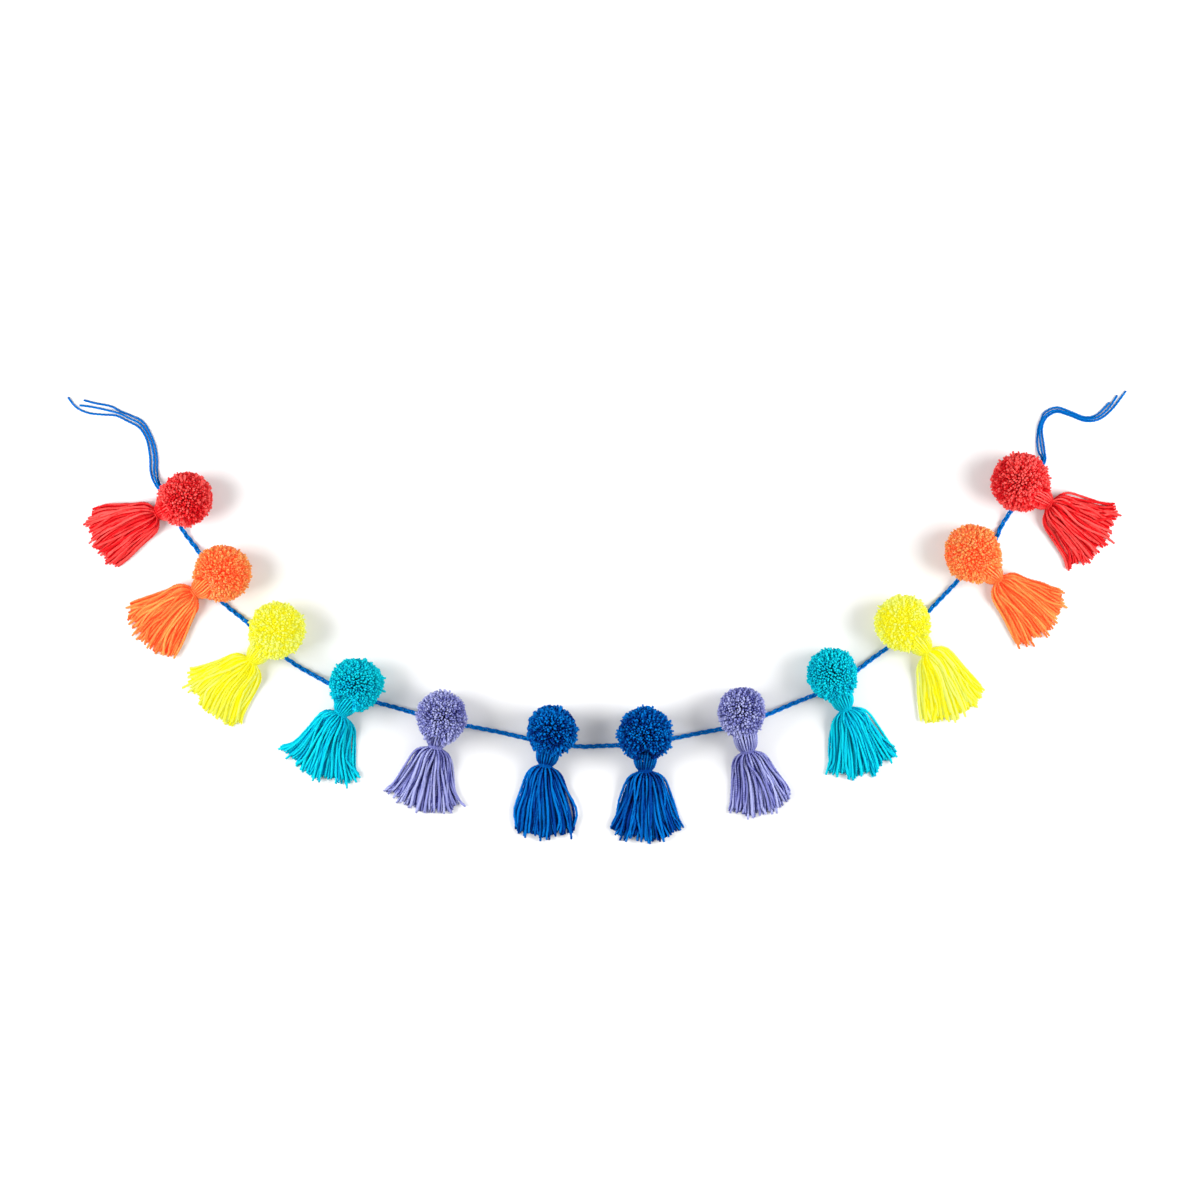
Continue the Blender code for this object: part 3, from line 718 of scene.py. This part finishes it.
def lumps(directions, dice):
    """A smooth number from about -1 to 1 for each direction."""
    total = np.zeros(len(directions))
    for _ in range(LUMP_WAVES):
        total += np.sin(directions @ dice.normal(0, LUMP_FINENESS, 3) + dice.uniform(0, 2 * np.pi))
    return total / math.sqrt(LUMP_WAVES)


def end_directions(count, dice):
    """Directions of the cut ends, which lean together in small tufts."""
    jitter = dice.normal(0, END_JITTER / math.sqrt(count), (count, 3))
    ends = unit_vectors(ball_directions(count) + jitter)
    tufts = ball_directions(round(count / TUFT_SIZE))
    tufts = unit_vectors(tufts + dice.normal(0, TUFT_JITTER / math.sqrt(len(tufts)), tufts.shape))
    nearest = tufts[np.argmax(ends @ tufts.T, axis=1)]
    return ends, unit_vectors(ends + (nearest - ends) * TUFT_PULL)


def core_ball(centre, radius):
    """A plain ball inside the cut ends, so that no light comes through."""
    turns, rows = 24, 13
    places = [(0, 0, 1)]
    for row in range(1, rows):
        z, ring = math.cos(math.pi * row / rows), math.sin(math.pi * row / rows)
        for step in range(turns):
            angle = 2 * math.pi * step / turns
            places.append((ring * math.cos(angle), ring * math.sin(angle), z))
    places.append((0, 0, -1))
    faces = []
    for step in range(turns):
        after = (step + 1) % turns
        faces.append([0, 1 + step, 1 + after])
        for row in range(rows - 2):
            first, second = 1 + row * turns, 1 + (row + 1) * turns
            faces.append([first + step, second + step, second + after, first + after])
        last = 1 + (rows - 2) * turns
        faces.append([last + after, last + step, len(places) - 1])
    return np.array(places) * radius + centre, faces


def axis_height(unit, along):
    """Height of the middle of the head, which rises over the side of its pompom."""
    return AXIS_HEIGHT + HEAD_SLOPE * np.clip(-along - SLOPE_START, 0, unit.bare)


def in_head(unit, places):
    """Which places lie in the bare part of the tassel's head."""
    local = seen_from_neck(unit, places)
    along = local[..., 0]
    beside = np.hypot(local[..., 1], local[..., 2] - axis_height(unit, along))
    alongside = (along > -unit.bare - BARE_MARGIN) & (along < HEAD_END)
    return alongside & (beside < HEAD_ROOM - HEAD_SLACK)


def parted(unit, places, centre):
    """Places over the bare part of the head pushed aside, at the same distance from the centre."""
    local = seen_from_neck(unit, places)
    line = np.clip(local[..., 0], HEAD_ROOM - unit.bare, HEAD_END)
    off = np.stack([local[..., 0] - line, local[..., 1]], axis=-1)
    far = np.linalg.norm(off, axis=-1, keepdims=True) + 1e-6
    off *= np.maximum(HEAD_ROOM / far, 1)
    aside = from_neck(unit, np.stack([line + off[..., 0], off[..., 1], local[..., 2]], axis=-1))
    reach = np.linalg.norm(places - centre, axis=-1, keepdims=True)
    return centre + unit_vectors(aside - centre) * reach


def trimmed(unit, paths, centre):
    """The ends round the bare head cut shorter, so that they rise from it like a dish."""
    tips = seen_from_neck(unit, paths[:, -1])
    line = np.clip(tips[:, 0], HEAD_ROOM - unit.bare, HEAD_END)
    far = np.hypot(tips[:, 0] - line, tips[:, 1])
    highest = axis_height(unit, tips[:, 0]) + DISH_ROOM + DISH_SLOPE * np.maximum(far - HEAD_ROOM, 0)
    rise = np.maximum(tips[:, 2] - centre[2], 1e-6)
    share = np.clip((highest - centre[2]) / rise, SHORTEST_END, 1)
    return centre + (paths - centre) * np.where(tips[:, 2] > highest, share, 1)[:, None, None]


def make_pompom(unit, number, material):
    """Cut yarn ends round a core, trimmed to a slightly lumpy ball and pressed flat where it stands."""
    dice = np.random.default_rng(POMPOM_SEED + number)
    radius = unit.pom_radius
    centre = in_plan(unit.pom_x, unit.pom_y) + (0, 0, radius * POM_CENTRE)
    count = round(4 * math.pi * radius**2 / END_AREA)
    roots, tips = end_directions(count, dice)
    heading = heading_of(unit)
    towards = np.clip(tips @ (math.cos(heading), math.sin(heading), 0), 0, 1)
    standing_out = LUMPS * lumps(tips, dice) + dice.normal(0, UNEVENNESS, count)
    reach = radius * TIPS_INSIDE * (1 + standing_out + unit.over * towards**4)
    shares, widths, shades = (np.array(column) for column in zip(*END_STATIONS))
    lean = ((shares - shares[0]) / (1 - shares[0]))[None, :, None]
    directions = unit_vectors(roots[:, None] * (1 - lean) + tips[:, None] * lean)
    paths = parted(unit, centre + directions * (reach[:, None] * shares)[..., None], centre)
    pushed = np.linalg.norm(paths[:, -1] - centre - tips * reach[:, None], axis=-1)
    keep = ~in_head(unit, paths).any(axis=1) & (pushed < dice.uniform(*PUSHED_MOST, count))
    paths, count = trimmed(unit, paths[keep], centre), keep.sum()
    radii = END_RADIUS * widths * dice.normal(1, END_RADIUS_SPREAD, (count, 1))
    paths[..., 2] = np.maximum(paths[..., 2], radii)
    rings, tints = yarn_part(paths, radii, dice, POMPOM_TINT, END_CORNERS)
    # Painted shade towards the inside of the ball, and painted light on ends that stand out
    tints += shades[None, :, None]
    tints += PAINTED_HEIGHT_LIGHT * standing_out[keep][:, None, None]
    core = core_ball(centre, radius * CORE)
    piece = yarn_object(f"pompom_{unit.name}_yarn", [(rings, tints)], material, core)
    stand_for(f"pompom_{unit.name}")


def in_neck(count, dice):
    """Places spread evenly over a disc of radius 1."""
    number = np.arange(count) + 0.5
    turn = number * math.pi * (3 - math.sqrt(5)) + dice.uniform(0, 2 * np.pi)
    ring = np.sqrt(number / count)
    return ring * np.cos(turn), ring * np.sin(turn)


def ranked(values):
    """The same order as evenly spaced numbers from 0 to 1."""
    return (np.argsort(np.argsort(values)) + 0.5) / len(values)


def skirt_paths(unit, dice):
    """The centrelines of the skirt's strands, from inside the neck."""
    aside, above = in_neck(STRANDS, dice)
    level = ranked(above + dice.normal(0, LEVEL_MIXING, STRANDS))
    under = level < UNDER_SHARE
    across = aside + dice.normal(0, PLACE_MIXING, STRANDS)
    across[under] = ranked(across[under])
    across[~under] = ranked(across[~under])
    across = across * 2 - 1
    gather = dice.uniform(*LOCK_WAVES)
    across += np.sin(across * gather + dice.uniform(*PHASES)) * LOCK_PULL / gather * ~under
    aside = np.sign(aside) * np.abs(aside) ** NECK_EVENNESS
    level = np.where(under, 0, level)
    hem = np.sin(across * dice.uniform(*HEM_WAVES) + dice.uniform(*PHASES)) * HEM_WAVE
    share = MEAN_REACH - EDGE_SHORTER * across**2 + hem + dice.normal(0, REACH_SPREAD, STRANDS)
    paths, sideways = fanned(unit, aside, above, across, level, (unit.skirt - WAIST) * share)
    stray = np.sign(across) * (np.abs(across) > STRAY_FROM) * dice.uniform(0, STRAY, STRANDS)
    curl = (1 - across**2) * (LOWEST_CURL + (1 - LOWEST_CURL) * level) * unit.curl
    bow = (curl + stray)[:, None] * np.sin(np.pi * np.linspace(0, 1, SKIRT_RINGS))
    paths += bow[..., None] * sideways
    return paths + swaying(paths, dice) * (LOWEST_SWAY + (1 - LOWEST_SWAY) * level[:, None, None])


def fanned(unit, aside, above, across, level, reach):
    """Lines from places in the neck to places across the hem, and the direction across the skirt."""
    count = len(aside)
    half_fan = math.radians((unit.fan_to - unit.fan_from) / 2)
    bend = math.radians((unit.fan_from + unit.fan_to) / 2) - heading_of(unit)
    bend = (bend + math.pi) % (2 * math.pi) - math.pi
    fullness = 1 + FULLNESS * (math.degrees(half_fan) / USUAL_HALF_FAN - 1)
    stations = []
    for along in NECK_STATIONS:
        x = np.full(count, along)
        stations.append(np.stack([x, aside * NECK_RADIUS, AXIS_HEIGHT + above * NECK_RADIUS], axis=-1))
    for section in SKIRT_SECTIONS:
        half_width = section.half_width * fullness - YARN_RADIUS
        y = (aside * section.round + across * (1 - section.round)) * half_width
        room = section.high - section.low - 2 * YARN_RADIUS
        height = (above + 1) / 2 * section.round + level * (1 - section.round)
        height *= 1 - section.sink * across**2
        x = section.along + BULGE * section.round * (1 - aside**2 - above**2)
        z = section.low + YARN_RADIUS + room * height
        stations.append(turned(np.stack([x, y, z], axis=-1), bend * section.bend))
    way = bend + (half_fan - FAN_EDGE / unit.skirt) * across
    z = YARN_RADIUS + level * (END_HEIGHT - 2 * YARN_RADIUS) * (1 - END_SINK * across**2)
    stations.append(np.stack([reach * np.cos(way), reach * np.sin(way), z], axis=-1))
    paths = evenly(spline(np.stack(stations, axis=1), FINE_STATIONS), SKIRT_RINGS)
    return paths, np.array([-math.sin(bend), math.cos(bend), 0.0])


def skirt_core(unit):
    """A plain closed tube inside the strands, so that the table doesn't show between them."""
    turn = np.linspace(0, 2 * np.pi, CORE_LINES, endpoint=False)
    across = CORE_WIDTH * np.cos(turn)
    above, level = (middle + half * np.sin(turn) for middle, half in (CORE_IN_NECK, CORE_IN_HEM))
    reach = np.full(CORE_LINES, unit.skirt * CORE_REACH)
    lines, _ = fanned(unit, across, above, across, level, reach)
    index = np.arange(lines.shape[0] * lines.shape[1]).reshape(lines.shape[:2])
    after = np.roll(index, -1, axis=0)
    sides = np.stack([index[:, :-1], after[:, :-1], after[:, 1:], index[:, 1:]], axis=-1).reshape(-1, 4)
    ends = [index[::-1, 0].tolist(), index[:, -1].tolist()]
    return from_neck(unit, lines).reshape(-1, 3), sides.tolist() + ends


def swaying(paths, dice):
    """Small waves aside and up, wider towards the cut ends."""
    count = len(paths)
    along = np.linspace(0, 1, paths.shape[1])[None, :, None]
    size = dice.normal(0, SWAY, (count, 1, 3)) * (1, 1, SWAY_UP)
    turns = along * dice.uniform(*SWAY_WAVES, (count, 1, 1)) + dice.uniform(*PHASES, (count, 1, 3))
    return size * np.sin(turns) * np.sqrt(along) * along


def thickness(paths):
    """The strands' radii, which are squeezed in the neck."""
    reached = lengths_along(paths)
    return YARN_RADIUS * (NECK_SQUEEZE + (1 - NECK_SQUEEZE) * np.clip(reached / SQUEEZED, 0, 1))


def head_part(unit, layer, dice):
    """Folded yarns from the head's hidden top to inside the neck."""
    number = np.arange(layer.loops) + dice.uniform(-LOOP_JITTER, LOOP_JITTER, layer.loops)
    inner = layer.share < 1
    angles = (number + 0.5 * inner) * 2 * np.pi / layer.loops
    skew = dice.uniform(-LOOP_SKEW, LOOP_SKEW)
    stations = []
    for along, radius in [(-unit.head + HEAD_TOP[0], HEAD_TOP[1]), *HEAD_STATIONS]:
        wide = radius * layer.share * (1 + dice.normal(0, LOOP_SPREAD, layer.loops))
        turn = angles + skew * along
        stations.append(np.stack([
            np.full(layer.loops, along),
            wide * np.sin(turn),
            axis_height(unit, along) - wide * np.cos(turn),
        ], axis=-1))
    paths = evenly(spline(np.stack(stations, axis=1), LOOP_FINE_STATIONS), layer.rings)
    radii = np.full(paths.shape[:2], YARN_RADIUS * layer.thickness)
    radii *= np.interp(np.linspace(0, 1, layer.rings), LOOP_PLACES, LOOP_TAPER)
    return yarn_part(from_neck(unit, paths), radii, dice, layer.tint)


def make_tassel(unit, number, material):
    """A head of folded yarns and a skirt of cut ones, which run through one neck."""
    dice = np.random.default_rng(TASSEL_SEED + number)
    paths = skirt_paths(unit, dice)
    radii = thickness(paths)
    paths = from_neck(unit, settled(paths, radii, SETTLING_STEPS))
    radii[:, -1] *= CUT_END
    parts = [yarn_part(paths, radii, dice, SKIRT_TINT)]
    parts += [head_part(unit, layer, dice) for layer in HEAD_LAYERS]
    piece = yarn_object(f"tassel_{unit.name}_yarn", parts, material, skirt_core(unit))
    stand_for(f"tassel_{unit.name}")


def make_tie(unit, number, material):
    """A few turns of yarn wound round the neck."""
    dice = np.random.default_rng(TIE_SEED + number)
    turn = np.linspace(0, 2 * np.pi * TIE_TURNS, TIE_STEPS * TIE_TURNS)
    along = (turn / (2 * np.pi) - TIE_TURNS / 2) * TIE_PITCH
    height = AXIS_HEIGHT - TIE_RADIUS * np.cos(turn)
    path = np.stack([along, TIE_RADIUS * np.sin(turn), height], axis=-1)
    radii = np.full((1, len(turn)), TIE_YARN_RADIUS)
    part = yarn_part(from_neck(unit, path[None]), radii, dice, TIE_TINT)
    piece = yarn_object(f"tie_{unit.name}_yarn", [part], material)
    stand_for(f"tie_{unit.name}")


# Cords


def route_path(route, count):
    """Places at equal distances along a route, in the garland's frame."""
    places = np.array(route) - (*OUTLINE_CENTRE, 0)
    return evenly(spline(places[None], ROUTE_STEPS * len(route)), count)[0]


def make_plait(material):
    """Three yarns that swing from side to side in turn, each over one and under the next."""
    dice = np.random.default_rng(PLAIT_SEED)
    path = route_path(CORD_ROUTE, PLAIT_RINGS)
    ahead = unit_vectors(np.gradient(path, axis=0))
    aside = unit_vectors(np.cross((0, 0, 1), ahead))
    above = np.cross(ahead, aside)
    phase = lengths_along(path[None])[0] * 2 * np.pi / PLAIT_PITCH
    yarns = []
    for number in range(3):
        turn = (phase + number * 2 * np.pi / 3)[:, None]
        yarns.append(path + aside * PLAIT_SWING * np.sin(turn) + above * PLAIT_LIFT * np.sin(2 * turn))
    radii = np.full((3, len(path)), PLAIT_YARN_RADIUS)
    part = yarn_part(np.array(yarns), radii, dice, PLAIT_TINT)
    piece = yarn_object("cord_plait_yarn", [part], material)
    stand_for("cord_plait")


def make_tails(material):
    for number, (name, route) in enumerate(TAIL_ROUTES.items()):
        dice = np.random.default_rng(TAIL_SEED + number)
        path = route_path(route, TAIL_RINGS)
        radii = np.full((1, len(path)), TAIL_DIAMETER / 2)
        part = yarn_part(path[None], radii, dice, TAIL_TINT)
        piece = yarn_object(f"{name}_yarn", [part], material)
        stand_for(name)


def main():
    place_camera()
    light_scene()
    lay_table()
    materials = {name: yarn_material(f"{name}_yarn_look", yarn) for name, yarn in YARNS.items()}
    make_plait(materials["blue"])
    make_tails(materials["blue"])
    for number, unit in enumerate(UNITS):
        make_pompom(unit, number, materials[unit.colour])
        make_tassel(unit, number, materials[unit.colour])
        make_tie(unit, number, materials[unit.colour])


main()
